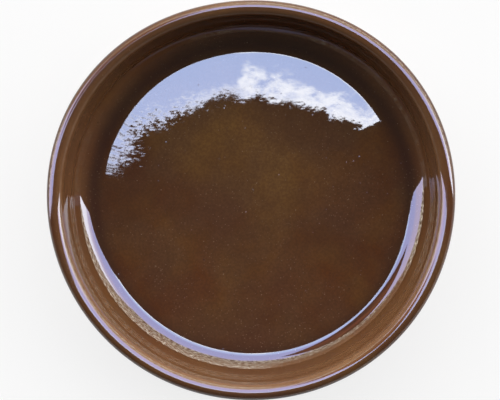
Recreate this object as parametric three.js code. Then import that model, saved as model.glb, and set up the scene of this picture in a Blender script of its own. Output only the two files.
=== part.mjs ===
// Ceramic plant saucer: a round dish of fired clay with a coat of brown glaze.
// It stands under a plant pot and holds the water that drains out of it.
// Millimetres, +Z up, origin at the centre of the ring that the saucer stands on.

import * as THREE from 'three';

// Finished sizes of the dish, measured over the glaze.
const rimDiameter = 240;
const overallHeight = 43;
const floorThickness = 6;
const wallThickness = 6.4;
const wallDraft = 4.5; // degrees that the wall leans outwards from the vertical

// The rim is a thick band. Its crest leaves the outer edge flat, leans inwards on a wide
// crown and rolls over into the wall on a tight curve.
const rimWidth = 8.9;
const rimDepth = 9.5;
const rimOuterRounding = 4.6;
const crownSlope = 11; // degrees, where the crown hands over to the roll
const crownRounding = 3;
const rimInnerRounding = 3.9;
const rimLowerRounding = 2.2;
const rimNeckRounding = 3.5; // hollow curve where the band runs down into the wall
const rimNeckSlope = 40; // degrees below the horizontal of the band's underside

// The floor first lifts on a wide curve, then sweeps up on a tight one into a straight
// ramp, which meets the wall at a soft crease.
const floorEdgeSlope = 10; // degrees, where the wide curve hands over to the tight one
const floorEdgeRounding = 33;
const sweepSlope = 49; // degrees, of the ramp
const sweepRounding = 13.8;
const rampLength = 4.6;
const creaseRounding = 2;
const outerCornerRounding = 8;

// The bare ring on the underside that the saucer stands on.
const footHeight = 2;
const footWidth = 7;
const footInset = 13.5; // from the wall's outer corner in to the ring
const footRounding = 1;
const footHollowRounding = 0.8;

// The coat of glaze. It runs thin over the rim and pools in the corner of the floor.
const glazeOnFloor = 0.7;
const glazeOnRamp = 0.6;
const glazeOnWall = 0.5;
const glazeOnRim = 0.4;
const glazePool = 2; // how much tighter the clay's corner is than the glaze's
const glazeLineHeight = 4.2; // the coat stops this far above the standing plane

// Facets: sides round the dish, how far a facet may stray from the arc it stands for, and
// the shortest one along the outline.
const sides = 64;
const arcTolerance = 0.08;
const shortestFacet = 0.1;

// Rise over run of a slope in degrees.
function slopeOf(degrees) {
  return Math.tan(THREE.MathUtils.degToRad(degrees));
}

const rimRadius = rimDiameter / 2;
const innerFloorHeight = footHeight + floorThickness;
const lean = slopeOf(wallDraft);
const wallRun = wallThickness / Math.cos(THREE.MathUtils.degToRad(wallDraft));

// Radius of the inner face of the wall at a height, and of the outer face.
const innerRadiusAt = (z) => rimRadius - rimWidth - (overallHeight - z) * lean;
const outerRadiusAt = (z) => innerRadiusAt(z) + wallRun;

// The corner where the crown starts to lean inwards, and the one where it meets the wall.
function crestCorners() {
  const crown = rimRadius - rimOuterRounding - crownRounding * slopeOf(crownSlope / 2);
  const fall = slopeOf(crownSlope);
  const drop = ((crown - innerRadiusAt(overallHeight)) * fall) / (1 - lean * fall);
  const rollHeight = overallHeight - drop;
  return { crown: [crown, overallHeight], roll: [innerRadiusAt(rollHeight), rollHeight] };
}

// The corners of the floor's edge, the sweep and the crease, found from the wall inwards.
// The stretch between the floor's two curves is as long as both reach along it.
function sweepCorners() {
  const first = THREE.MathUtils.degToRad(floorEdgeSlope);
  const ramp = THREE.MathUtils.degToRad(sweepSlope);
  const sweepReach = sweepRounding * Math.tan((ramp - first) / 2);
  const lifted = floorEdgeRounding * Math.tan(first / 2) + sweepReach;
  const climbed = sweepReach + rampLength;
  const sweepHeight = innerFloorHeight + lifted * Math.sin(first);
  const creaseHeight = sweepHeight + climbed * Math.sin(ramp);
  const crease = innerRadiusAt(creaseHeight);
  const sweep = crease - climbed * Math.cos(ramp);
  const edge = sweep - lifted * Math.cos(first);
  return {
    edge: [edge, innerFloorHeight],
    sweep: [sweep, sweepHeight],
    crease: [crease, creaseHeight],
  };
}

// The dish's outline in corners, from the middle of the floor, over the rim and down
// to the middle of the underside. Each corner is rounded, and each has the thickness
// of glaze on the stretch that leads away from it.
function outlineCorners() {
  const neckDrop = slopeOf(rimNeckSlope);
  const bandFoot = overallHeight - rimDepth;
  const overhang = rimRadius - outerRadiusAt(bandFoot);
  // The band's underside slopes in until it meets the leaning outer face of the wall.
  const neckRun = overhang / (1 - neckDrop * lean);
  const neckHeight = bandFoot - neckRun * neckDrop;
  const footOuter = outerRadiusAt(footHeight) - footInset;
  const footInner = footOuter - footWidth;
  const { edge, sweep, crease } = sweepCorners();
  const { crown, roll } = crestCorners();
  const corner = ([r, z], rounding, glaze, pool = 0) => ({ r, z, rounding, glaze, pool });
  return [
    corner([0, innerFloorHeight], 0, glazeOnFloor),
    corner(edge, floorEdgeRounding, glazeOnFloor),
    corner(sweep, sweepRounding, glazeOnRamp, glazePool),
    corner(crease, creaseRounding, glazeOnWall),
    corner(roll, rimInnerRounding, glazeOnRim),
    corner(crown, crownRounding, glazeOnRim),
    corner([rimRadius, overallHeight], rimOuterRounding, glazeOnRim),
    corner([rimRadius, bandFoot], rimLowerRounding, glazeOnWall),
    corner([rimRadius - neckRun, neckHeight], rimNeckRounding, glazeOnWall),
    corner([outerRadiusAt(footHeight), footHeight], outerCornerRounding, 0),
    corner([footOuter, footHeight], footHollowRounding, 0),
    corner([footOuter, 0], footRounding, 0),
    corner([footInner, 0], footRounding, 0),
    corner([footInner, footHeight], footHollowRounding, 0),
    corner([0, footHeight], 0, 0),
  ];
}

// The clay's own corners, under the glaze: each stretch moves in by its thickness of
// glaze, and each corner goes to where its two moved stretches now meet.
function clayCorners(corners) {
  const stretches = corners.slice(1).map((end, i) => {
    const start = corners[i];
    const along = new THREE.Vector2(end.r - start.r, end.z - start.z).normalize();
    const inwards = new THREE.Vector2(along.y, -along.x);
    const point = new THREE.Vector2(start.r, start.z).addScaledVector(inwards, start.glaze);
    return { along, point };
  });
  return corners.map((corner, i) => {
    const before = stretches[i - 1];
    const after = stretches[i];
    if (!before) return { ...corner, z: after.point.y };
    if (!after) return { ...corner, z: before.point.y };
    const gap = after.point.clone().sub(before.point);
    const turn = before.along.cross(after.along);
    const meeting = before.point.clone().addScaledVector(before.along, gap.cross(after.along) / turn);
    // A hollow curve widens by the glaze laid in it, and a rounded edge tightens by it.
    const coat = Math.min(corners[i - 1].glaze, corner.glaze) * Math.sign(turn);
    const rounding = Math.max(corner.rounding + coat - corner.pool, 0);
    return { ...corner, r: meeting.x, z: meeting.y, rounding };
  });
}

// The widest turn that one facet may take of an arc.
function facetTurn(radius) {
  return 2 * Math.acos(Math.max(1 - arcTolerance / radius, 0));
}

// Points along the corners. Each is rounded by an arc that touches both its stretches,
// and arcs that together need more than the stretch between them share it out.
function roundedOutline(corners) {
  const places = corners.map((corner) => new THREE.Vector2(corner.r, corner.z));
  const runs = places.slice(1).map((end, i) => end.clone().sub(places[i]));
  const turns = runs.slice(1).map((run, i) => run.angleTo(runs[i]));
  const wanted = [0, ...turns.map((turn, i) => corners[i + 1].rounding * Math.tan(turn / 2)), 0];
  const room = (i, j) => {
    const both = Math.max(wanted[i] + wanted[j], places[i].distanceTo(places[j]));
    return (wanted[i] * places[i].distanceTo(places[j])) / both;
  };
  const points = [places[0]];
  const addPoint = (point) => {
    if (point.distanceTo(points[points.length - 1]) > shortestFacet) points.push(point);
  };
  turns.forEach((turn, before) => {
    const i = before + 1;
    const reach = Math.min(room(i, i - 1), room(i, i + 1));
    const rounding = reach / Math.tan(turn / 2);
    if (rounding < arcTolerance) {
      addPoint(places[i]);
      return;
    }
    const back = runs[before].clone().negate().normalize();
    const sense = Math.sign(runs[i].cross(back));
    const start = places[i].clone().addScaledVector(back, reach);
    const centre = start.clone().add(
      new THREE.Vector2(back.y, -back.x).multiplyScalar(sense * rounding));
    const steps = Math.max(Math.ceil(turn / facetTurn(rounding)), 1);
    for (let step = 0; step <= steps; step += 1) {
      addPoint(start.clone().rotateAround(centre, (sense * turn * step) / steps));
    }
  });
  points.push(places[places.length - 1]);
  return points;
}

// An outline cut in two at the glaze line low on the outside: the stretch that glaze
// covers, from the middle of the floor, and the bare stretch. The cut ends the first.
function cutAtGlazeLine(outline) {
  const top = outline.findIndex((point) => point.y > overallHeight - rimOuterRounding);
  const below = outline.findIndex((point, i) => i > top && point.y < glazeLineHeight);
  const above = outline[below - 1];
  const share = (above.y - glazeLineHeight) / (above.y - outline[below].y);
  const cut = above.clone().lerp(outline[below], share);
  return { glazed: [...outline.slice(0, below), cut], bare: outline.slice(below) };
}

// A solid of revolution about +Z. Its outline starts and ends on the axis, and runs
// outwards over the top and back underneath, so that the faces point out.
function turned(outline, material, name) {
  const positions = [];
  for (const point of outline) {
    for (let side = 0; side < sides; side += 1) {
      const angle = (2 * Math.PI * side) / sides;
      positions.push(point.x * Math.cos(angle), point.x * Math.sin(angle), point.y);
    }
  }
  const faces = [];
  for (let ring = 0; ring < outline.length - 1; ring += 1) {
    const [near, far] = [outline[ring], outline[ring + 1]];
    for (let side = 0; side < sides; side += 1) {
      const [a, b] = [ring * sides + side, ring * sides + ((side + 1) % sides)];
      const [c, d] = [a + sides, b + sides];
      if (near.x === 0) faces.push(a, c, d);
      else if (far.x === 0) faces.push(a, c, b);
      // Clay and glaze run this stretch in opposite directions and meet face to face
      // on it, so the diagonal depends on where its ends lie and not on the direction.
      else if (near.x + near.y < far.x + far.y) faces.push(a, c, d, a, d, b);
      else faces.push(a, c, b, b, c, d);
    }
  }
  const geometry = new THREE.BufferGeometry();
  geometry.setAttribute('position', new THREE.Float32BufferAttribute(positions, 3));
  geometry.setIndex(faces);
  geometry.computeVertexNormals();
  const mesh = new THREE.Mesh(geometry, material);
  mesh.name = name;
  return mesh;
}

// Fired buff stoneware, bare on the foot ring and the underside.
function firedClay() {
  return new THREE.MeshStandardMaterial({ color: 0xb8926a, roughness: 0.9, metalness: 0 });
}

// Glossy brown glaze.
function brownGlaze() {
  return new THREE.MeshStandardMaterial({ color: 0x5a3a22, roughness: 0.08, metalness: 0 });
}

// The clay has a ring of points at the glaze line too, where the coat's edge lies on it.
function clayBody(finished) {
  const { glazed, bare } = cutAtGlazeLine(roundedOutline(clayCorners(finished)));
  return turned([...glazed, ...bare], firedClay(), 'clay_body');
}

// The coat lies on the clay from the floor's middle to the glaze line.
function glazeCoat(finished) {
  const over = cutAtGlazeLine(roundedOutline(finished)).glazed;
  const under = cutAtGlazeLine(roundedOutline(clayCorners(finished))).glazed;
  return turned([...over, ...under.reverse()], brownGlaze(), 'glaze_coat');
}

const saucer = new THREE.Group();
const finished = outlineCorners();
saucer.add(clayBody(finished), glazeCoat(finished));

export default saucer;
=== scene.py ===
# %% [markdown]
# # A glazed plant saucer
# The saucer is one piece of fired clay under one coat of brown glaze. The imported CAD
# model gives its size and its place. This lesson makes both layers again as fine turned
# meshes, and then gives them a glaze that pools and breaks, a bare foot and a soft light.

# %% Load the frame
import math

import bpy
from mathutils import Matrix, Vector


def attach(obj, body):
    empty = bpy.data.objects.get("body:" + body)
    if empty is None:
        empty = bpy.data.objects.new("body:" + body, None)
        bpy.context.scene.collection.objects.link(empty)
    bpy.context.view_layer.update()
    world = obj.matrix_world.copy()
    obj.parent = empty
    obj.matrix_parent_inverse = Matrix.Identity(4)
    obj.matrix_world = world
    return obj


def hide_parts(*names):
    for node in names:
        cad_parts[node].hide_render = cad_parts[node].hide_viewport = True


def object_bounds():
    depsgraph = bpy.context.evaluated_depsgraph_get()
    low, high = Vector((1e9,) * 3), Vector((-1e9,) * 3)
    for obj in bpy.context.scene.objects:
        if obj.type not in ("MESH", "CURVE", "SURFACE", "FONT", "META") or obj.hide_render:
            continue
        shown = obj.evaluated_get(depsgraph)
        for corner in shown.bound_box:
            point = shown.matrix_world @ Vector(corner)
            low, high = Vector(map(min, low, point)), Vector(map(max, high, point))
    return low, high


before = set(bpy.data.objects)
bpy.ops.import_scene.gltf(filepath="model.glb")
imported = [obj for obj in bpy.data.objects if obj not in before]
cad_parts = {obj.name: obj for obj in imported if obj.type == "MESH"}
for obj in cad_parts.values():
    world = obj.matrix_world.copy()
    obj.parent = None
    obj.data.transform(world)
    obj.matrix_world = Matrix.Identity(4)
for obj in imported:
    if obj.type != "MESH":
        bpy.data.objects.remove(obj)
cad_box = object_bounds()
cad_low, cad_high = [list(corner) for corner in cad_box]
print("CAD box:", cad_low, cad_high)

# %% [markdown]
# ## The sizes
# A potter works from a few sizes: how wide, how high, how thick. Width and height are read
# from the frame, so that this mesh can't drift from the solid it stands for. The rest are
# the same named sizes as in the part's source, here in metres.

# %% Sizes of the dish
MM = 0.001
rim_radius = cad_high[0]
rim_height = cad_high[2]
foot_height = 2 * MM
floor_height = 8 * MM
wall_thickness = 6.4 * MM
wall_draft = math.radians(4.5)
wall_lean = math.tan(wall_draft)

rim_width = 8.9 * MM
rim_depth = 9.5 * MM
rim_neck_drop = math.tan(math.radians(40))
foot_inset = 13.5 * MM
foot_width = 7 * MM
glaze_line_height = 4.2 * MM


def inner_radius(height):
    """Radius of the wall's inner face at a height."""
    return rim_radius - rim_width - (rim_height - height) * wall_lean


def outer_radius(height):
    """Radius of the wall's outer face at a height."""
    return inner_radius(height) + wall_thickness * math.hypot(1, wall_lean)


print("wall radii:", round(inner_radius(floor_height), 4), round(inner_radius(rim_height), 4))

# %% [markdown]
# The floor is flat in the middle. Towards the wall it first lifts a little on a wide curve,
# then sweeps up on a tight one, and meets the wall at a soft crease. Each stretch between
# two curves is just as long as the curves need, and the last runs on until it meets the
# wall, so the sizes can be changed one at a time.

# %% Where the floor sweeps up
edge_slope = math.radians(10)
edge_rounding = 33 * MM
sweep_slope = math.radians(49)
sweep_rounding = 13.8 * MM
ramp_length = 4.6 * MM
crease_rounding = 2 * MM


def sweep_corners():
    """Corners of the floor's edge, the sweep and the crease, found from the wall inwards."""
    edge_reach = edge_rounding * math.tan(edge_slope / 2)
    sweep_reach = sweep_rounding * math.tan((sweep_slope - edge_slope) / 2)
    lift = (edge_reach + sweep_reach) * math.sin(edge_slope)
    ramp = sweep_reach + ramp_length
    crease_height = floor_height + lift + ramp * math.sin(sweep_slope)
    crease = inner_radius(crease_height)
    sweep = crease - ramp * math.cos(sweep_slope)
    edge = sweep - (edge_reach + sweep_reach) * math.cos(edge_slope)
    return (edge, floor_height), (sweep, floor_height + lift), (crease, crease_height)


print("floor edge, sweep and crease at", [[round(v / MM, 2) for v in c] for c in sweep_corners()])

# %% [markdown]
# The rim's crest does the same the other way: it leaves the outer edge flat, leans inwards
# on a wide crown, and rolls over into the wall on a tight curve.

# %% Where the crest rolls over
rim_outer_rounding = 4.6 * MM
crown_slope = math.radians(11)
crown_rounding = 3 * MM
rim_inner_rounding = 3.9 * MM


def crest_corners():
    """Corners of the crown and of the roll into the wall, found from the outside inwards."""
    crown = rim_radius - rim_outer_rounding - crown_rounding * math.tan(crown_slope / 2)
    fall = math.tan(crown_slope)
    drop = (crown - inner_radius(rim_height)) * fall / (1 - wall_lean * fall)
    return (crown, rim_height), (inner_radius(rim_height - drop), rim_height - drop)


print("crown and roll at", [[round(v / MM, 2) for v in c] for c in crest_corners()])

# %% [markdown]
# ## The outline
# Everything on a turned dish comes from one outline: half of a cut through it, from the
# middle of the floor, up the wall, over the rim and down to the foot. It is written as a
# list of corners. Each corner has the radius that it is rounded with and the thickness of
# glaze on the stretch that leads away from it. The outline could be drawn by hand as a
# curve, but corners with roundings stay exact and are easy to change.

# %% The outline's corners
def dish_corners():
    """Corners of the finished surface: radius, height, rounding and glaze, in metres."""
    band_foot = rim_height - rim_depth
    overhang = rim_radius - outer_radius(band_foot)
    neck_run = overhang / (1 - rim_neck_drop * wall_lean)
    foot_outer = outer_radius(foot_height) - foot_inset
    foot_inner = foot_outer - foot_width
    edge, sweep, crease = sweep_corners()
    crown, roll = crest_corners()
    return [
        (0, floor_height, 0, 0.7 * MM),
        (*edge, edge_rounding, 0.7 * MM),
        (*sweep, sweep_rounding, 0.6 * MM),
        (*crease, crease_rounding, 0.5 * MM),
        (*roll, rim_inner_rounding, 0.4 * MM),
        (*crown, crown_rounding, 0.4 * MM),
        (rim_radius, rim_height, rim_outer_rounding, 0.4 * MM),
        (rim_radius, band_foot, 2.2 * MM, 0.5 * MM),
        (rim_radius - neck_run, band_foot - neck_run * rim_neck_drop, 3.5 * MM, 0.5 * MM),
        (outer_radius(foot_height), foot_height, 8 * MM, 0),
        (foot_outer, foot_height, 0.8 * MM, 0),
        (foot_outer, 0, 1.0 * MM, 0),
        (foot_inner, 0, 1.0 * MM, 0),
        (foot_inner, foot_height, 0.8 * MM, 0),
        (0, foot_height, 0, 0),
    ]


corners = dish_corners()
print("the outline has", len(corners), "corners")

# %% [markdown]
# Clay lies under the glaze, so its outline is the finished one moved inwards by the
# thickness of the coat. Each stretch moves by its own thickness, and each corner goes to
# where the two moved stretches meet. The glaze pools in the corner of the floor because
# the clay's curve there is tighter.

# %% The clay's corners, under the glaze
GLAZE_POOL = 2 * MM


def clay_corners(corners):
    """Corners of the clay, each stretch moved in by the glaze that lies on it."""
    places = [Vector((r, z)) for r, z, rounding, glaze in corners]
    stretches = []
    for start, end, (r, z, rounding, glaze) in zip(places, places[1:], corners):
        along = (end - start).normalized()
        stretches.append((start + glaze * Vector((along.y, -along.x)), along))
    first, last = stretches[0][0], stretches[-1][0]
    moved = [(0, first.y, 0, 0)]
    for (point, along), (next_point, next_along), corner, before in zip(
        stretches, stretches[1:], corners[1:], corners
    ):
        turn = along.cross(next_along)
        meeting = point + along * ((next_point - point).cross(next_along) / turn)
        coat = math.copysign(min(before[3], corner[3]), turn)
        pool = GLAZE_POOL if corner is corners[2] else 0
        moved.append((meeting.x, meeting.y, max(corner[2] + coat - pool, 0), 0))
    return moved + [(0, last.y, 0, 0)]


clay = clay_corners(corners)
print("the clay's floor lies at", round(clay[0][1] / MM, 2), "mm")

# %% [markdown]
# A rounding is an arc that touches both stretches at its corner. Long straight stretches
# get points as well, so that the turned mesh can follow the slight waves of real ware.

# %% Rounding the corners
ARC_STEP = 0.45 * MM
STRAIGHT_STEP = 3.5 * MM
SMALLEST_ARC_PIECES = 4


def arc_points(back, here, ahead, rounding):
    """Points of the arc that rounds one corner."""
    to_back, to_ahead = (back - here).normalized(), (ahead - here).normalized()
    turn = math.pi - to_back.angle(to_ahead)
    reach = rounding * math.tan(turn / 2)
    centre = here + (to_back + to_ahead).normalized() * rounding / math.cos(turn / 2)
    start = (here + to_back * reach - centre).normalized()
    end = (here + to_ahead * reach - centre).normalized()
    pieces = max(math.ceil(turn * rounding / ARC_STEP), SMALLEST_ARC_PIECES)
    return [centre + rounding * start.slerp(end, i / pieces) for i in range(pieces + 1)]


def rounded_outline(corners):
    """The whole outline as points in the XZ plane, with arcs at its corners."""
    places = [Vector((r, 0, z)) for r, z, rounding, glaze in corners]
    bends = [[places[0]]]
    for back, here, ahead, corner in zip(places, places[1:], places[2:], corners[1:]):
        bends.append(arc_points(back, here, ahead, corner[2]))
    bends.append([places[-1]])
    points = []
    for bend, following in zip(bends, bends[1:]):
        points += bend
        gap = following[0] - bend[-1]
        pieces = math.ceil(gap.length / STRAIGHT_STEP)
        points += [bend[-1] + gap * (i / pieces) for i in range(1, pieces)]
    return points + bends[-1]


finished_outline = rounded_outline(corners)
clay_outline = rounded_outline(clay)
print("points:", len(finished_outline), "finished,", len(clay_outline), "clay")

# %% [markdown]
# The glaze coat is a thin shell: out along the finished surface to the glaze line, round
# a small bead, and back along the clay. Molten glaze is pulled into such a bead by its
# surface tension where it stops on bare clay. The clay keeps its whole outline.

# %% The glaze coat's outline
BEAD_PIECES = 5
UNDER_STEP = 4


def down_to_line(outline):
    """The stretch of an outline from the middle of the floor to the glaze line."""
    top = max(range(len(outline)), key=lambda i: outline[i].z)
    stop = next(i for i in range(top, len(outline)) if outline[i].z < glaze_line_height)
    above, below = outline[stop - 1], outline[stop]
    share = (above.z - glaze_line_height) / (above.z - below.z)
    return outline[:stop] + [above.lerp(below, share)]


over, under = down_to_line(finished_outline), down_to_line(clay_outline)
bead_start, bead_end = over[-1], under[-1]
bead_drop = Vector((0, 0, -0.5 * (bead_start - bead_end).length))
bead = []
for i in range(1, BEAD_PIECES):
    swing = math.pi * i / BEAD_PIECES
    across = (bead_start - bead_end) * (0.5 + 0.5 * math.cos(swing))
    bead.append(bead_end + across + bead_drop * math.sin(swing))
back_under = under[::-1]
back_under = back_under[:1] + back_under[1:-1:UNDER_STEP] + back_under[-1:]
glaze_outline = over + bead + back_under
print("the glaze coat's outline has", len(glaze_outline), "points")

# %% [markdown]
# Glaze runs thin over edges and down steep walls, and collects in hollows, and its colour
# shows it. The outline knows where these places are, so its points carry masks for the
# shader: `edge` is 1 along the rim's edges, `crest` is 1 over the whole top of the rim,
# `wall` is 1 where the outline is steep, `pool` is 1 in the hollow corners and `line` is 1
# where the coat ends.

# %% Masks on the outline
EDGE_REACH = 0.7 * MM
CREST_REACH = 5.5 * MM
POOL_REACH = 5 * MM
LINE_REACH = 3 * MM


def nearness(point, places, reach):
    """1 at a place, falling off smoothly to 0 with the distance from it."""
    nearest = min((point - place).length for place in places)
    return math.exp(-((nearest / reach) ** 2))


def steepness(before, after):
    """0 on a floor and 1 on a wall, from the points on both sides."""
    across = after - before
    return (abs(across.z) / max(across.length, 1e-9)) ** 2


def corner_arc(index):
    """The points of the arc that rounds one corner of the finished outline."""
    places = [Vector((r, 0, z)) for r, z, rounding, glaze in corners]
    return arc_points(*places[index - 1 : index + 2], corners[index][2])


def outline_masks(points):
    """The masks' values for every point of an outline."""
    inner, outer, lower = corner_arc(4), corner_arc(6), corner_arc(7)
    edges = [inner[len(inner) // 3], lower[len(lower) // 2]]
    crests = [inner[-1], outer[0]]
    pools = [corner_arc(2)[0], corner_arc(8)[0]]
    ends = [Vector((outer_radius(glaze_line_height), 0, glaze_line_height))]
    neighbours = zip(points[:1] + points[:-1], points[1:] + points[-1:])
    return {
        "edge": [nearness(point, edges, EDGE_REACH) for point in points],
        "crest": [nearness(point, crests, CREST_REACH) for point in points],
        "wall": [steepness(before, after) for before, after in neighbours],
        "pool": [nearness(point, pools, POOL_REACH) for point in points],
        "line": [nearness(point, ends, LINE_REACH) for point in points],
    }


def outline_mesh(name, points):
    """A chain of edges for the wheel to turn, with the masks on its points."""
    mesh = bpy.data.meshes.new(name)
    mesh.from_pydata(points, [(i, i + 1) for i in range(len(points) - 1)], [])
    for mask, values in outline_masks(points).items():
        mesh.attributes.new(mask, "FLOAT", "POINT").data.foreach_set("value", values)
    return mesh


masks = outline_masks(glaze_outline)
print("masks:", {mask: round(sum(values), 1) for mask, values in masks.items()})

# %% [markdown]
# ## The wheel
# A potter's wheel turns one outline into a dish. Blender's Spin and Screw do the same, but
# a Geometry Nodes tree can also add what hands and the kiln do: the rim goes a little out
# of round, the surface ripples and the glaze line swings. The tree makes a grid with one
# column for each step round the dish and one row for each point of the outline, and then
# moves every point to its place.

# %% Helpers that build node trees
def feed(tree, socket, value):
    """Gives a socket a value, or a link where the value is another node's socket."""
    if isinstance(value, bpy.types.NodeSocket):
        tree.links.new(value, socket)
    else:
        socket.default_value = value


def feed_all(tree, node, inputs):
    """Feeds a node's inputs by name or number."""
    for name, value in inputs.items():
        feed(tree, node.inputs[name], value)


def add_node(tree, kind, inputs=None, **settings):
    """Adds a node, sets its properties and feeds its inputs."""
    node = tree.nodes.new(kind)
    for name, value in settings.items():
        setattr(node, name, value)
    feed_all(tree, node, inputs or {})
    return node


def maths(tree, operation, *values):
    """One Math node, giving its result."""
    node = add_node(tree, "ShaderNodeMath", dict(enumerate(values)), operation=operation)
    return node.outputs[0]


def times(tree, first, second):
    """Two values multiplied."""
    return maths(tree, "MULTIPLY", first, second)


def minus(tree, first, second):
    """The first value less the second."""
    return maths(tree, "SUBTRACT", first, second)


def times_plus(tree, first, second, third):
    """Two values multiplied, and a third added."""
    return maths(tree, "MULTIPLY_ADD", first, second, third)


def ramp(tree, value, start, end, kind="LINEAR"):
    """0 before start, 1 after end, straight between."""
    return add_node(tree, "ShaderNodeMapRange", {
        "Value": value, "From Min": start, "From Max": end}, interpolation_type=kind).outputs[0]


def soft_step(tree, value, start, end):
    """0 before start, 1 after end, smooth between."""
    return ramp(tree, value, start, end, "SMOOTHSTEP")


# %% [markdown]
# A pattern that runs round the dish needs only a place's radius and height, so a place is
# unrolled to these two before a texture reads it.

# %% Helpers for vectors
def axes_of(tree, vector):
    """A vector's parts, by the names X, Y and Z."""
    return add_node(tree, "ShaderNodeSeparateXYZ", {0: vector}).outputs


def vector_of(tree, *parts):
    """A vector from its parts."""
    return add_node(tree, "ShaderNodeCombineXYZ", dict(enumerate(parts))).outputs[0]


def vector_maths(tree, operation, *vectors):
    """One Vector Math node, giving its result."""
    node = add_node(tree, "ShaderNodeVectorMath", dict(enumerate(vectors)), operation=operation)
    return node.outputs["Value" if operation in ("LENGTH", "DISTANCE") else "Vector"]


def stretched(tree, vector, factors):
    """A vector multiplied by a factor, or each of its parts by one of its own."""
    return vector_maths(tree, "MULTIPLY", vector, factors)


def radius_of(tree, place):
    """How far a place lies from the axis of the dish."""
    return vector_maths(tree, "LENGTH", stretched(tree, place, (1, 1, 0)))


def unrolled(tree, place):
    """A place by its radius and height alone, where any pattern runs round the dish."""
    return vector_of(tree, radius_of(tree, place), axes_of(tree, place)["Z"])


# %% Helpers for noise and for node groups
def noise(tree, inputs, dimensions="3D"):
    """A noise texture, giving its value."""
    return add_node(tree, "ShaderNodeTexNoise", inputs, noise_dimensions=dimensions).outputs[0]


def waver(tree, inputs, dimensions="3D"):
    """A noise that lies around 0."""
    return minus(tree, noise(tree, inputs, dimensions), 0.5)


def per_metre(tree, size):
    """The texture scale that gives a pattern a size in metres."""
    return maths(tree, "DIVIDE", 1.0, size)


def new_tree(name, kind, inputs, output):
    """A node group with named inputs and one output, and what its inputs give."""
    tree = bpy.data.node_groups.new(name, kind)
    for label, sort, value in inputs:
        socket = tree.interface.new_socket(label, in_out="INPUT", socket_type="NodeSocket" + sort)
        if value is not None:
            socket.default_value = value
    tree.interface.new_socket(output[0], in_out="OUTPUT", socket_type="NodeSocket" + output[1])
    return tree, add_node(tree, "NodeGroupInput").outputs


# %% The wheel's named inputs
WHEEL_INPUTS = (
    ("Outline", "Geometry", None),
    ("Sides", "Int", 448),
    ("Height", "Float", rim_height),
    ("Oval", "Float", 0.0), ("Shoulders", "Float", 0.0), ("Squareness", "Float", 0.0),
    ("Ripple", "Float", 0.0), ("Ripple size", "Float", 0.03),
    ("Rings", "Float", 0.0), ("Ring size", "Float", 0.003),
    ("Line swing", "Float", 0.0),
    ("Seed", "Float", 1.0),
    ("Material", "Material", None),
)

# %% [markdown]
# Clay warps as it dries and fires, so no rim is truly round. Moving points by hand would
# dent it. Cosine lobes bend the whole circle: two make it oval, three and four squarer.

# %% Out of round
# For each input: how many lobes it has, and the direction that the first one points in.
LOBES = {"Oval": (2, 0), "Shoulders": (3, 35), "Squareness": (4, -43)}
FLOOR_SHARE = 0.6


def out_of_round(tree, inputs, turn, height):
    """The factor on a point's radius: lobes that the kiln leaves, strongest at the rim."""
    lobes = 0.0
    for name, (count, degrees) in LOBES.items():
        phase = minus(tree, turn, math.radians(degrees))
        lobe = maths(tree, "COSINE", times(tree, phase, count))
        lobes = times_plus(tree, lobe, inputs[name], lobes)
    share = maths(tree, "DIVIDE", height, inputs["Height"])
    share = times_plus(tree, share, 1 - FLOOR_SHARE, FLOOR_SHARE)
    return times_plus(tree, lobes, share, 1.0)


def line_swing(tree, inputs, circle, line):
    """How far a point near the end of the coat slides along the outer corner."""
    wave = waver(tree, {"Vector": circle, "W": inputs["Seed"], "Scale": 3.5, "Detail": 3.0}, "4D")
    return times(tree, times(tree, wave, line), inputs["Line swing"])


# %% [markdown]
# Hands leave broad ripples, and a turning tool leaves fine rings. They are too slight for
# the outline, so they move the finished surface along its normal.

# %% Waves in the surface
def lift_along_normal(tree, inputs):
    """The offset of each point: broad ripples everywhere, fine rings on the walls."""
    position = add_node(tree, "GeometryNodeInputPosition").outputs[0]
    wall = add_node(tree, "GeometryNodeInputNamedAttribute", {"Name": "wall"})
    ripple = waver(tree, {
        "Vector": position, "W": inputs["Seed"], "Detail": 1.0,
        "Scale": per_metre(tree, inputs["Ripple size"])}, "4D")
    rings = waver(tree, {
        "Vector": unrolled(tree, position), "Detail": 1.0,
        "Scale": per_metre(tree, inputs["Ring size"])}, "2D")
    rings = times(tree, rings, wall.outputs["Attribute"])
    lift = times_plus(tree, rings, inputs["Rings"], times(tree, ripple, inputs["Ripple"]))
    return stretched(tree, add_node(tree, "GeometryNodeInputNormal").outputs[0], lift)


# %% [markdown]
# Each row of the grid reads one point of the outline by its number. The first and the last
# column meet in a seam, and both ends in a pole, so points that fall together are merged.

# %% Build the wheel
MERGE_DISTANCE = 0.002 * MM


def sample_row(tree, outline, kind, field, row):
    """Reads a value of the outline's points, by their number."""
    return add_node(tree, "GeometryNodeSampleIndex", {
        "Geometry": outline, "Value": field, "Index": row}, data_type=kind).outputs["Value"]


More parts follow.
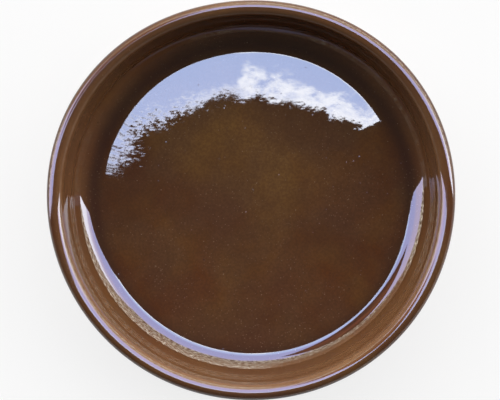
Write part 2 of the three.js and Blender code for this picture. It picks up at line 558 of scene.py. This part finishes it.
def bent_grid(tree, inputs):
    """The grid bent into a dish, still open along one seam and at its poles."""
    outline = inputs["Outline"]
    rows = add_node(tree, "GeometryNodeAttributeDomainSize", {
        "Geometry": outline}).outputs["Point Count"]
    grid = add_node(tree, "GeometryNodeMeshGrid", {
        "Vertices X": maths(tree, "ADD", inputs["Sides"], 1), "Vertices Y": rows})
    index = add_node(tree, "GeometryNodeInputIndex").outputs[0]
    row = maths(tree, "MODULO", index, rows)
    column = maths(tree, "FLOOR", maths(tree, "DIVIDE", maths(tree, "ADD", index, 0.5), rows))
    turn = times(tree, maths(tree, "DIVIDE", column, inputs["Sides"]), math.tau)
    circle = vector_of(tree, maths(tree, "COSINE", turn), maths(tree, "SINE", turn))

    sampled = {}
    for mask in masks:
        field = add_node(tree, "GeometryNodeInputNamedAttribute", {"Name": mask})
        sampled[mask] = sample_row(tree, outline, "FLOAT", field.outputs["Attribute"], row)
    position = add_node(tree, "GeometryNodeInputPosition").outputs[0]
    point = axes_of(tree, sample_row(tree, outline, "FLOAT_VECTOR", position, row))
    swing = line_swing(tree, inputs, circle, sampled["line"])
    factor = out_of_round(tree, inputs, turn, point["Z"])
    radius = times_plus(tree, point["X"], factor, swing)
    upwards = vector_of(tree, 0, 0, maths(tree, "ADD", point["Z"], swing))
    place = vector_maths(tree, "MULTIPLY_ADD", circle, radius, upwards)
    shape = add_node(tree, "GeometryNodeSetPosition", {
        "Geometry": grid.outputs["Mesh"], "Position": place}).outputs[0]
    for mask, value in sampled.items():
        shape = add_node(tree, "GeometryNodeStoreNamedAttribute", {
            "Geometry": shape, "Name": mask, "Value": value}).outputs[0]
    return shape


def build_wheel():
    """The tree that turns an outline into a dish."""
    tree, inputs = new_tree(
        "potters_wheel", "GeometryNodeTree", WHEEL_INPUTS, ("Dish", "Geometry"))
    closed = add_node(tree, "GeometryNodeMergeByDistance", {
        "Geometry": bent_grid(tree, inputs), "Distance": MERGE_DISTANCE})
    waved = add_node(tree, "GeometryNodeSetPosition", {
        "Geometry": closed.outputs[0], "Offset": lift_along_normal(tree, inputs)})
    smooth = add_node(tree, "GeometryNodeSetShadeSmooth", {"Geometry": waved.outputs[0]})
    finished = add_node(tree, "GeometryNodeSetMaterial", {
        "Geometry": smooth.outputs[0], "Material": inputs["Material"]})
    add_node(tree, "NodeGroupOutput", {0: finished.outputs[0]})
    return tree


wheel = build_wheel()
print("the wheel has", len(wheel.nodes), "nodes")

# %% [markdown]
# To use the wheel, an object holding only the outline gets the tree as a modifier. A
# modifier's inputs are set by the sockets' identifiers. The evaluated result is then taken
# as a plain mesh, so that the object holds ordinary geometry.

# %% Turn an outline on the wheel
def identifier(tree, name):
    """The identifier of one of a tree's named inputs."""
    return next(item.identifier for item in tree.interface.items_tree
                if item.item_type == "SOCKET" and item.in_out == "INPUT" and item.name == name)


def add_object(name, data):
    """A new object in the scene."""
    item = bpy.data.objects.new(name, data)
    bpy.context.scene.collection.objects.link(item)
    return item


def turn_on_wheel(name, points, **inputs):
    """Turns an outline into a plain mesh object at the origin."""
    blank = add_object(name + "_outline", outline_mesh(name + "_outline", points))
    modifier = blank.modifiers.new("wheel", "NODES")
    modifier.node_group = wheel
    for label, value in inputs.items():
        modifier[identifier(wheel, label.replace("_", " "))] = value
    evaluated = blank.evaluated_get(bpy.context.evaluated_depsgraph_get())
    mesh = bpy.data.meshes.new_from_object(evaluated)
    blank.modifiers.clear()
    bpy.data.objects.remove(blank)
    mesh.name = name
    print(name, "has", sum(len(face.vertices) - 2 for face in mesh.polygons), "triangles")
    return add_object(name, mesh)


# %% [markdown]
# ## Effects that both finishes share
# Glaze and clay are both stained by the kiln, both are speckled, and both keep traces of
# the turning. Each effect is one node group that puts out a mask, so a material can use it
# with its own sizes. Patterns are three-dimensional and read the object's own coordinates,
# so nothing stretches or shows a seam.

# %% Shader group: mottling
def build_mottle():
    """Cloudy patches with soft borders: 0 in one colour, 1 in the other."""
    group, given = new_tree("kiln_mottle", "ShaderNodeTree", (
        ("Place", "Vector", None), ("Patch size", "Float", 0.04),
        ("Softness", "Float", 0.3), ("Seed", "Float", 0.0)), ("Mask", "Float"))
    clouds = noise(group, {
        "Vector": given["Place"], "W": given["Seed"],
        "Scale": per_metre(group, given["Patch size"]), "Detail": 4.0, "Roughness": 0.45,
        "Distortion": 0.5}, "4D")
    low = minus(group, 0.5, given["Softness"])
    high = maths(group, "ADD", 0.5, given["Softness"])
    add_node(group, "NodeGroupOutput", {0: soft_step(group, clouds, low, high)})
    return group


mottle_group = build_mottle()

# %% Shader group: specks
def build_specks():
    """Small round spots, scattered: most cells of the pattern stay empty."""
    group, given = new_tree("specks", "ShaderNodeTree", (
        ("Place", "Vector", None), ("Spacing", "Float", 0.004),
        ("Share", "Float", 0.2), ("Width", "Float", 0.3)), ("Mask", "Float"))
    cells = add_node(group, "ShaderNodeTexVoronoi", {
        "Vector": given["Place"], "Scale": per_metre(group, given["Spacing"])})
    spot = soft_step(group, cells.outputs["Distance"], given["Width"], 0.0)
    chance = add_node(group, "ShaderNodeSeparateColor", {0: cells.outputs["Color"]})
    chosen = maths(group, "LESS_THAN", chance.outputs[0], given["Share"])
    add_node(group, "NodeGroupOutput", {0: times(group, spot, chosen)})
    return group


specks_group = build_specks()

# %% Shader group: turning rings
def build_rings():
    """Faint circles round the axis, with a pitch that wanders."""
    group, given = new_tree("turning_rings", "ShaderNodeTree", (
        ("Place", "Vector", None), ("Pitch", "Float", 0.004)), ("Height", "Float"))
    rings = noise(group, {
        "Vector": unrolled(group, given["Place"]),
        "Scale": per_metre(group, given["Pitch"]), "Detail": 2.0}, "2D")
    add_node(group, "NodeGroupOutput", {0: rings})
    return group


rings_group = build_rings()
print("shader groups:", mottle_group.name, specks_group.name, rings_group.name)

# %% [markdown]
# Both materials are built in the same way: a colour is stained by one mask after another.
# Small helpers keep each stain to one line.

# %% Helpers that build materials
def place_group(tree, group, inputs):
    """One use of a shader group, giving its only output."""
    return add_node(tree, "ShaderNodeGroup", inputs, node_tree=group).outputs[0]


def mottle_mask(tree, place, size, softness, seed=0.0):
    """The mottling, at its own size."""
    return place_group(tree, mottle_group, {
        "Place": place, "Patch size": size, "Softness": softness, "Seed": seed})


def speck_mask(tree, place, spacing, share, width):
    """Specks: how far apart their cells are, how many cells hold one, and how wide it is."""
    return place_group(tree, specks_group, {
        "Place": place, "Spacing": spacing, "Share": share, "Width": width})


def outline_mask(tree, name):
    """One of the masks that the outline carries."""
    return add_node(tree, "ShaderNodeAttribute", attribute_name=name).outputs["Fac"]


def blend_colour(tree, share, first, second):
    """Mixes two colours by a mask."""
    return add_node(tree, "ShaderNodeMix", {0: share, 6: first, 7: second},
                    data_type="RGBA").outputs[2]


def stain(tree, colour, mask, strength, second):
    """Mixes a second colour in by a mask and a strength."""
    return blend_colour(tree, times(tree, mask, strength), colour, second)


def bump(tree, height):
    """The normal of a surface with a height in metres on it."""
    return add_node(tree, "ShaderNodeBump", {"Height": height, "Distance": 1.0}).outputs[0]


def new_material(name):
    """A material with an empty tree, and its Principled BSDF."""
    material = bpy.data.materials.new(name)
    material.use_nodes = True
    tree = material.node_tree
    tree.nodes.clear()
    shader = add_node(tree, "ShaderNodeBsdfPrincipled")
    output = add_node(tree, "ShaderNodeOutputMaterial")
    tree.links.new(shader.outputs[0], output.inputs[0])
    return material, tree, shader


# %% [markdown]
# ## The glaze
# Brown stoneware glaze is a layer of tinted glass, so it has one sharp reflection and a
# colour that depends on its depth. Where it runs thin, over the edges of the rim, it breaks
# to amber. Where it pools, in the corner, it is nearly black. In between, the iron in it
# settles in cloudy patches of redder and yellower brown. Real glass over clay could be
# traced as glass, which is slow and noisy. Here an opaque surface takes the mixed colour.

# %% Glaze: the ground colour
YELLOW_BROWN = (0.146, 0.069, 0.018, 1)
RED_BROWN = (0.106, 0.032, 0.008, 1)
# Golden patch on the far floor: partly the glaze's tone, partly painted light that brightens it.
GOLD_BROWN_AND_LIGHT = (0.190, 0.095, 0.028, 1)
GOLDEN_LIT_MIDDLE = (0.010, 0.046, 0)
GOLDEN_LIT_REACH = 0.10


def ground_colour(tree, place):
    """Red to yellow brown in patches; golden, partly painted light, round a spot on the far floor.
    """
    apart = vector_maths(tree, "DISTANCE", place, GOLDEN_LIT_MIDDLE)
    # Nearness to the golden patch on the far floor, which is partly painted light.
    near = ramp(tree, apart, GOLDEN_LIT_REACH, 0.0)
    patches = times(tree, mottle_mask(tree, place, 0.042, 0.14), 0.7)
    warm = times_plus(tree, near, 0.8, patches)
    colour = blend_colour(tree, warm, RED_BROWN, YELLOW_BROWN)
    return stain(tree, colour, maths(tree, "POWER", near, 2), 0.7, GOLD_BROWN_AND_LIGHT)


# %% [markdown]
# The kiln and the minerals stain the ground at every size, from clouds as wide as a hand to
# flecks of a millimetre. Each row of the table is one such stain.

# %% Glaze: kiln stains, from clouds to flecks
PURPLE_BROWN = (0.062, 0.022, 0.012, 1)
GREY_BROWN = (0.104, 0.055, 0.031, 1)
DARK_GRAIN = (0.052, 0.020, 0.011, 1)
# Patches have a size in metres, a softness and a seed.
VEIL = (0.024, 0.16, 5.0)
STAINS = (
    ((0.055, 0.16, 11.0), 0.6, PURPLE_BROWN),
    (VEIL, 0.35, GREY_BROWN),
    ((0.010, 0.22, 3.0), 0.22, DARK_GRAIN),
    ((0.0016, 0.10, 13.0), 0.28, DARK_GRAIN),
)


def stained(tree, place, colour):
    """A colour with all the stains on it."""
    for patches, strength, second in STAINS:
        colour = stain(tree, colour, mottle_mask(tree, place, *patches), strength, second)
    return colour


# %% [markdown]
# The masks of the outline say where the coat ran thin, where it pooled and where it broke.
# Dust and specks of the clay lie over it all.

# %% Glaze: where it ran
RUN_THIN = (0.226, 0.114, 0.052, 1)
INSIDE_RADIUS = 113.5 * MM
OUTSIDE_RADIUS = 118.5 * MM


def run_down(tree, place, colour):
    """Thin on the inner wall and the crest, with streaks down it and lines round it."""
    wall = outline_mask(tree, "wall")
    inside = soft_step(tree, radius_of(tree, place), OUTSIDE_RADIUS, INSIDE_RADIUS)
    thinner = times(tree, wall, 0.5)
    thinner = times_plus(tree, outline_mask(tree, "crest"), 0.25, thinner)
    colour = stain(tree, colour, inside, thinner, RUN_THIN)
    streaks = mottle_mask(tree, stretched(tree, place, (1, 1, 0.1)), 0.0045, 0.16, 17.0)
    colour = stain(tree, colour, times(tree, streaks, wall), 0.22, RED_BROWN)
    rings = place_group(tree, rings_group, {"Place": place, "Pitch": 0.0030})
    lines = times(tree, soft_step(tree, rings, 0.5, 0.62), wall)
    return stain(tree, colour, lines, 0.16, DARK_GRAIN)


# %% Glaze: where it pooled and where it broke
POOLED = (0.034, 0.015, 0.011, 1)
AMBER = (0.260, 0.150, 0.085, 1)


def pooled_and_broken(tree, place, colour):
    """Nearly black in the hollows, and amber in ragged patches on the edges."""
    colour = stain(tree, colour, outline_mask(tree, "pool"), 0.7, POOLED)
    ragged = times_plus(tree, mottle_mask(tree, place, 0.006, 0.3, 7.0), 0.45, 0.1)
    return stain(tree, colour, outline_mask(tree, "edge"), ragged, AMBER)


# %% Glaze: specks and dust
PALE_SPECK = (0.240, 0.160, 0.100, 1)


def speckled(tree, place, colour):
    """Dark and pale specks, and dust that lies in the grey veils."""
    colour = blend_colour(tree, speck_mask(tree, place, 0.0060, 0.10, 0.14), colour, DARK_GRAIN)
    colour = blend_colour(tree, speck_mask(tree, place, 0.0030, 0.12, 0.16), colour, PALE_SPECK)
    veiled = times(tree, mottle_mask(tree, place, *VEIL), 0.7)
    return stain(tree, colour, speck_mask(tree, place, 0.0011, 0.16, 0.40), veiled, PALE_SPECK)


# %% [markdown]
# The surface of melted glass is almost flat. A faint peel and a few pinholes are enough to
# make the reflections tremble, and a film of dust dulls them here and there.

# %% Glaze: surface and roughness
PEEL = 0.0012 * MM
PEEL_IN_POOLS = 0.008 * MM
PINHOLE_DEPTH = 0.03 * MM
GLOSS = 0.006


def glaze_normal(tree, place):
    """The glassy surface: a soft orange peel, stronger in the pools, with a few pinholes."""
    peel = noise(tree, {"Vector": place, "Scale": 160.0, "Detail": 1.0})
    lumps = times_plus(tree, outline_mask(tree, "pool"), PEEL_IN_POOLS, PEEL)
    pinholes = times(tree, speck_mask(tree, place, 0.006, 0.16, 0.08), PINHOLE_DEPTH)
    return bump(tree, minus(tree, times(tree, peel, lumps), pinholes))


def glaze_roughness(tree, place):
    """Nearly a mirror, duller on the worn crest of the rim, under a film and on grains."""
    roughness = times_plus(tree, outline_mask(tree, "crest"), 0.04, GLOSS)
    film = mottle_mask(tree, place, 0.016, 0.2, 9.0)
    roughness = times_plus(tree, film, 0.010, roughness)
    grains = speck_mask(tree, place, 0.0042, 0.16, 0.14)
    return times_plus(tree, grains, 0.5, roughness)


# %% Glaze material
GLAZE_IOR = 1.58


def make_glaze():
    """Glossy brown glaze."""
    material, tree, shader = new_material("brown_glaze")
    place = add_node(tree, "ShaderNodeTexCoord").outputs["Object"]
    colour = stained(tree, place, ground_colour(tree, place))
    colour = run_down(tree, place, colour)
    colour = pooled_and_broken(tree, place, colour)
    feed_all(tree, shader, {
        "Base Color": speckled(tree, place, colour), "Normal": glaze_normal(tree, place),
        "Roughness": glaze_roughness(tree, place), "IOR": GLAZE_IOR})
    return material


brown_glaze = make_glaze()
print("glaze material:", len(brown_glaze.node_tree.nodes), "nodes")

# %% [markdown]
# ## The bare clay
# Only the underside shows it: buff stoneware, dry to the touch, with iron specks and the
# fine rings that a turning tool leaves. It is toasted a little darker near the glaze line
# and rubbed paler and smoother where the foot ring slides on a shelf.

# %% Clay material
BUFF = (0.500, 0.330, 0.190, 1)
TOASTED = (0.360, 0.200, 0.100, 1)
IRON = (0.090, 0.040, 0.022, 1)
RUBBED = (0.580, 0.430, 0.290, 1)
RUBBED_HEIGHT = 0.4 * MM
GROOVE_DEPTH = 0.18 * MM
GRIT_HEIGHT = 0.06 * MM


def make_clay():
    """Bare fired clay."""
    material, tree, shader = new_material("bare_clay")
    place = add_node(tree, "ShaderNodeTexCoord").outputs["Object"]
    height = axes_of(tree, place)["Z"]
    toasted = ramp(tree, height, foot_height, glaze_line_height)
    rubbed = ramp(tree, height, RUBBED_HEIGHT, 0.0)
    rings = place_group(tree, rings_group, {"Place": place, "Pitch": 0.0022})

    colour = stain(tree, BUFF, mottle_mask(tree, place, 0.06, 0.2), 0.5, TOASTED)
    colour = stain(tree, colour, toasted, 0.8, TOASTED)
    colour = stain(tree, colour, rubbed, 0.6, RUBBED)
    colour = stain(tree, colour, soft_step(tree, rings, 0.58, 0.4), 0.45, TOASTED)
    colour = blend_colour(tree, speck_mask(tree, place, 0.0028, 0.25, 0.16), colour, IRON)
    colour = blend_colour(tree, speck_mask(tree, place, 0.0090, 0.22, 0.10), colour, IRON)

    grit = noise(tree, {"Vector": place, "Scale": 1800.0, "Detail": 3.0})
    relief = maths(tree, "ADD", times(tree, rings, GROOVE_DEPTH), times(tree, grit, GRIT_HEIGHT))
    feed_all(tree, shader, {
        "Base Color": colour, "Normal": bump(tree, relief),
        "Roughness": times_plus(tree, rubbed, -0.2, 0.85)})
    return material


bare_clay = make_clay()

# %% [markdown]
# ## Turn both layers
# The two layers share the wheel's lobes, so the coat follows the clay. The glaze has a
# slight ripple of its own, which bends the reflections as the real surface does.

# %% Clay core and glaze skin
LOBE_SIZES = {"Oval": 0.0113, "Shoulders": 0.006, "Squareness": 0.0028}
clay_core = turn_on_wheel(
    "clay_core", clay_outline, Sides=320, Material=bare_clay, **LOBE_SIZES)
glaze_skin = turn_on_wheel(
    "glaze_skin", glaze_outline, Sides=480, Ripple=0.06 * MM, Ripple_size=0.045,
    Rings=0.008 * MM, Line_swing=1.4 * MM, Material=brown_glaze, **LOBE_SIZES)

# %% [markdown]
# ## The stage
# The saucer stands on a plain pale floor that runs out past every camera. The camera sees
# most of it as flat white, so that it looks like paper and still takes the dish's shadow.

# %% Floor
FLOOR_HALF = 8.0
SHARE_OF_WHITE = 0.78
WHITE = (1, 1, 1, 1)
floor_mesh = bpy.data.meshes.new("studio_floor")
floor_mesh.from_pydata(
    [(x * FLOOR_HALF, y * FLOOR_HALF, 0) for x, y in ((-1, -1), (1, -1), (1, 1), (-1, 1))],
    [], [(0, 1, 2, 3)])
studio_floor = add_object("studio_floor", floor_mesh)
pale_floor, pale_tree, pale_shader = new_material("pale_floor")
feed_all(pale_tree, pale_shader, {
    "Base Color": (0.90, 0.90, 0.90, 1), "Roughness": 0.9, "Specular IOR Level": 0.1})
white = add_node(pale_tree, "ShaderNodeEmission", {"Color": WHITE})
seen_by_camera = add_node(pale_tree, "ShaderNodeLightPath").outputs["Is Camera Ray"]
paler = times(pale_tree, seen_by_camera, SHARE_OF_WHITE)
mixed = add_node(pale_tree, "ShaderNodeMixShader", {
    0: paler, 1: pale_shader.outputs[0], 2: white.outputs[0]})
pale_output = next(node for node in pale_tree.nodes if node.type == "OUTPUT_MATERIAL")
pale_tree.links.new(mixed.outputs[0], pale_output.inputs[0])
floor_mesh.materials.append(pale_floor)

# %% [markdown]
# ## Light
# The light is soft, and comes from the far half of the room and rather low, so that the
# near wall is bright and the far wall dark. Diffuse rays get it at a plain level, at which
# a colour looks about as it is written. A mirror-like glaze also needs something to
# reflect, so glossy rays meet a garden: an open sky with some cloud over the far side,
# treetops that close it off overhead, a hedge lower down and a red roof between them. The
# camera sees a white backdrop.

# %% Bearings and heights in the room
# A bearing is 0 towards the far side and grows to the right. A depth is the angle down
# from straight above, so 0 is overhead and 90 is the horizon.
def bearing_and_depth(tree, direction):
    """The bearing and the depth of a direction, in degrees."""
    axes = axes_of(tree, direction)
    bearing = maths(tree, "ARCTAN2", axes["X"], axes["Y"])
    depth = maths(tree, "ARCCOSINE", axes["Z"])
    return maths(tree, "DEGREES", bearing), maths(tree, "DEGREES", depth)


def skyline(tree, bearing, points):
    """A depth that depends on the bearing, through a list of points in degrees."""
    node = add_node(tree, "ShaderNodeFloatCurve", {
        "Value": times_plus(tree, bearing, 1 / 360, 0.5)})
    curve = node.mapping.curves[0]
    places = [(0.5 + at / 360, depth / 90) for at, depth in points]
    curve.points[0].location, curve.points[-1].location = places[0], places[-1]
    for place in places[1:-1]:
        curve.points.new(*place)
    for point in curve.points:
        point.handle_type = "VECTOR"
    node.mapping.update()
    return times(tree, node.outputs[0], 90)


def uneven(tree, place, scale, detail, roughness=0.6):
    """The unevenness of leaves, tiles and clouds, around 0."""
    return waver(tree, {
        "Vector": place, "Scale": scale, "Detail": detail, "Roughness": roughness})


# %% The garden's outlines and colours
# How far directions overhead are moved, which suits the garden to a camera off the middle.
GARDEN_ASIDE = (0.0384, -0.0096, 0)
TREETOPS = (
    (-180, 90), (-96.5, 90), (-92, 30), (-88, 14), (-82, 8.6), (-73, 7.8), (-59, 7.6),
    (-46, 6.6), (-27, 6.2), (0, 5.9), (23, 5.9), (43, 6.5), (58, 7.7), (60, 9.5), (66, 14),
    (75, 27), (84, 38), (91, 90), (180, 90))
HEDGE_TOP = (
    (-180, 90), (-100, 90), (-94, 80), (-85, 66), (-65, 61), (-50, 50), (-35, 42), (0, 37),
    (45, 40), (55, 52), (70, 58), (85, 75), (90, 90), (180, 90))
ROOF_MIDDLE = (-42, 28)
ROOF_REACH = (32, 18)
DIM = (0.16, 0.12, 0.10, 1)
SKY = (7.4, 9.1, 14.4, 1)
LOW_SKY = (5.7, 6.1, 10.8, 1)
PALE_SKY = (7.0, 6.5, 9.8, 1)
CLOUD = (16.5, 17.2, 19.0, 1)
HEDGE_DARK = (0.3, 0.24, 0.18, 1)
HEDGE_LIGHT = (14.0, 13.0, 11.0, 1)
HEDGE_INSIDE = (2.8, 2.2, 1.6, 1)
HEDGE_SHADE = (1.2, 0.6, 0.3, 1)
ROOF = (2.3, 0.75, 0.45, 1)
ROOF_SHADE = (0.5, 0.25, 0.16, 1)

# %% The sky
CLOUD_GRAIN = (44, 80, 44)
CLOUD_MIDDLE = 0.115
CLOUD_TAPER = 420
HAZE_GRAIN = (5, 5, 30)


def cloud_mask(tree, direction, depth):
    """A heap of cloud near the treetops, from the middle to the right."""
    axes = axes_of(tree, direction)
    heap = uneven(tree, stretched(tree, direction, CLOUD_GRAIN), 1.0, 7.0, 0.74)
    along = times_plus(tree, axes["X"], 0.30, axes["Y"])
    off_middle = maths(tree, "POWER", minus(tree, along, CLOUD_MIDDLE), 2)
    heap = minus(tree, heap, times(tree, off_middle, CLOUD_TAPER))
    heap = minus(tree, heap, soft_step(tree, axes["X"], -0.005, -0.04))
    high_up = soft_step(tree, depth, 16, 11)
    return times(tree, soft_step(tree, heap, -0.16, 0.08), high_up)


def haze_mask(tree, direction, depth):
    """Wisps of haze towards the horizon, starting higher on the right than on the left."""
    beside = axes_of(tree, direction)["X"]
    start = times_plus(tree, soft_step(tree, beside, 0.25, 0.45), -16.0, 56.0)
    start = times_plus(tree, soft_step(tree, beside, -0.25, -0.45), 18.0, start)
    wisps = uneven(tree, stretched(tree, direction, HAZE_GRAIN), 1.0, 5.0, 0.7)
    past = times_plus(tree, wisps, 44.0, minus(tree, depth, start))
    return times(tree, soft_step(tree, past, 0.0, 16.0), 0.7)


def sky_with_cloud(tree, direction, depth):
    """Pale blue overhead, paler lower down, with cloud and haze."""
    blue = blend_colour(tree, soft_step(tree, depth, 9, 13), SKY, LOW_SKY)
    blue = blend_colour(tree, soft_step(tree, depth, 30, 44), blue, PALE_SKY)
    cloud, haze = cloud_mask(tree, direction, depth), haze_mask(tree, direction, depth)
    return blend_colour(tree, maths(tree, "MAXIMUM", cloud, haze), blue, CLOUD)


# %% [markdown]
# Trees hang over the sky from the camera's side. Their edge is a curve, made ragged by two
# sizes of noise, and lit leaves give it a pale fringe.

# %% The treetops
LEAF_GRAIN = (170, 480, 170)


def above_treetops(tree, direction, bearing, depth):
    """How far a direction lies outside the treetops, in degrees: leaves make it ragged."""
    crowns = uneven(tree, direction, 60.0, 2.0)
    leaves = uneven(tree, stretched(tree, direction, LEAF_GRAIN), 1.0, 6.0, 0.75)
    thin_growth = soft_step(tree, bearing, -20, -60)
    raggedness = times_plus(tree, thin_growth, 5.2, 2.4)
    tops = times_plus(tree, crowns, 1.6, depth)
    tops = times_plus(tree, leaves, raggedness, tops)
    return minus(tree, tops, skyline(tree, bearing, TREETOPS))


def sky_over_treetops(tree, direction, bearing, depth):
    """The sky, dim where trees cover it and white in a fringe along their edge."""
    above = above_treetops(tree, direction, bearing, depth)
    fringe = times(tree, soft_step(tree, above, 0.8, 0.1), 0.5)
    sky = blend_colour(tree, fringe, sky_with_cloud(tree, direction, depth), CLOUD)
    return blend_colour(tree, soft_step(tree, above, -0.03, 0.03), DIM, sky)


# %% [markdown]
# Low down stand a hedge and a roof. The steep part of the corner squeezes both into thin
# bands, so only their tone and grain can be seen there.

# %% The hedge and the roof
HEDGE_MIDDLE = 55
SHADE_BEARING = -36
LEAF_WIDTH = 1.3
LEAF_DEPTH = 3.6


def hedge(tree, bearing, depth):
    """Leaves with light between them, quieter half way down and shaded beside the roof."""
    place = vector_of(
        tree, maths(tree, "DIVIDE", bearing, LEAF_WIDTH), maths(tree, "DIVIDE", depth, LEAF_DEPTH))
    leaves = uneven(tree, place, 1.0, 6.0, 0.8)
    lit = blend_colour(tree, soft_step(tree, leaves, -0.03, 0.09), HEDGE_DARK, HEDGE_LIGHT)
    from_middle = maths(tree, "ABSOLUTE", minus(tree, depth, HEDGE_MIDDLE))
    lit = stain(tree, lit, soft_step(tree, from_middle, 17, 7), 0.45, HEDGE_INSIDE)
    beside = maths(tree, "ABSOLUTE", minus(tree, bearing, SHADE_BEARING))
    deep = times(tree, soft_step(tree, depth, 44, 52), 0.2)
    deep = times_plus(tree, soft_step(tree, depth, 58, 66), 0.7, deep)
    return stain(tree, lit, soft_step(tree, beside, 36, 22), deep, HEDGE_SHADE)


def over_hedge(tree, direction, bearing, depth, seen):
    """The hedge in front of what is seen so far."""
    rough_top = times_plus(tree, uneven(tree, direction, 20.0, 4.0), 10.0, depth)
    below = minus(tree, rough_top, skyline(tree, bearing, HEDGE_TOP))
    return blend_colour(tree, soft_step(tree, below, -1.0, 1.0), seen, hedge(tree, bearing, depth))


def over_roof(tree, direction, bearing, depth, seen):
    """A low roof in front of what is seen so far, browner towards its ends."""
    across = minus(tree, bearing, ROOF_MIDDLE[0])
    across = maths(tree, "POWER", maths(tree, "DIVIDE", across, ROOF_REACH[0]), 2)
    down = minus(tree, depth, ROOF_MIDDLE[1])
    down = maths(tree, "ABSOLUTE", maths(tree, "DIVIDE", down, ROOF_REACH[1]))
    outside = maths(tree, "ADD", across, down)
    worn = soft_step(tree, uneven(tree, direction, 9.0, 3.0), -0.12, 0.12)
    roof = stain(tree, ROOF_SHADE, worn, soft_step(tree, outside, 1.0, 0.4), ROOF)
    return blend_colour(tree, soft_step(tree, outside, 1.0, 0.95), seen, roof)


# %% The whole garden
def turned_aside(tree, direction):
    """A direction moved with the garden, most of all overhead."""
    height = maths(tree, "MAXIMUM", axes_of(tree, direction)["Z"], 0.0)
    moved = vector_maths(tree, "ADD", direction, stretched(tree, GARDEN_ASIDE, height))
    return vector_maths(tree, "NORMALIZE", moved)


def garden(tree, direction):
    """What glossy rays meet, from overhead down to the horizon."""
    direction = turned_aside(tree, direction)
    bearing, depth = bearing_and_depth(tree, direction)
    seen = sky_over_treetops(tree, direction, bearing, depth)
    seen = over_hedge(tree, direction, bearing, depth, seen)
    return over_roof(tree, direction, bearing, depth, seen)


# %% World
FAR_LEVEL = 0.25
LOW_FAR_LEVEL = 5.3
NEAR_LEVEL = 0.04


def plain_light(tree, direction):
    """What diffuse rays meet: a dome that is brighter on the far side and low down."""
    axes = axes_of(tree, direction)
    low = minus(tree, 1.0, axes["Z"])
    level = times_plus(tree, low, LOW_FAR_LEVEL - FAR_LEVEL, FAR_LEVEL)
    towards = times_plus(tree, axes["X"], 0.15, axes["Y"])
    far = soft_step(tree, towards, -0.15, 0.2)
    level = times(tree, minus(tree, level, NEAR_LEVEL), far)
    return maths(tree, "ADD", level, NEAR_LEVEL)


def light_the_world():
    """The world's shader, by kind of ray."""
    world = bpy.data.worlds.new("soft_daylight")
    bpy.context.scene.world = world
    world.use_nodes = True
    tree = world.node_tree
    tree.nodes.clear()
    direction = add_node(tree, "ShaderNodeTexCoord").outputs["Generated"]
    backdrop = soft_step(tree, axes_of(tree, direction)["Z"], 0.12, 0.10)
    gloss = blend_colour(tree, backdrop, garden(tree, direction), WHITE)
    rays = add_node(tree, "ShaderNodeLightPath").outputs
    seen = blend_colour(tree, rays["Is Glossy Ray"], plain_light(tree, direction), gloss)
    seen = blend_colour(tree, rays["Is Camera Ray"], seen, WHITE)
    background = add_node(tree, "ShaderNodeBackground", {"Color": seen})
    output = add_node(tree, "ShaderNodeOutputWorld")
    tree.links.new(background.outputs[0], output.inputs[0])


light_the_world()

# %% [markdown]
# ## Camera
# The photo was taken from almost straight above, near enough that the wall leans inwards.

# %% Camera
CAMERA_ABOVE_RIM = 0.5872
CAMERA_ASIDE = (0.024, -0.006)
camera_data = bpy.data.cameras.new("camera")
camera_data.sensor_width = 36
camera_data.lens = 72
camera_data.shift_x = 0.0012
camera_data.shift_y = -0.0028
camera = add_object("camera", camera_data)
camera.location = (*CAMERA_ASIDE, rim_height + CAMERA_ABOVE_RIM)
camera.rotation_euler = (
    -math.atan2(CAMERA_ASIDE[1], CAMERA_ABOVE_RIM),
    math.atan2(CAMERA_ASIDE[0], CAMERA_ABOVE_RIM),
    0)
bpy.context.scene.camera = camera
bpy.context.scene.view_settings.view_transform = "Standard"

# %% [markdown]
# ## The body
# The skin and the core stand for the two CAD nodes, which are hidden, and ride on the one
# body.

# %% Frame calls
for piece, node, slot in (
    (clay_core, "clay_body", "clay"), (glaze_skin, "glaze_coat", "glaze")
):
    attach(piece, "root")
    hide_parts(node)
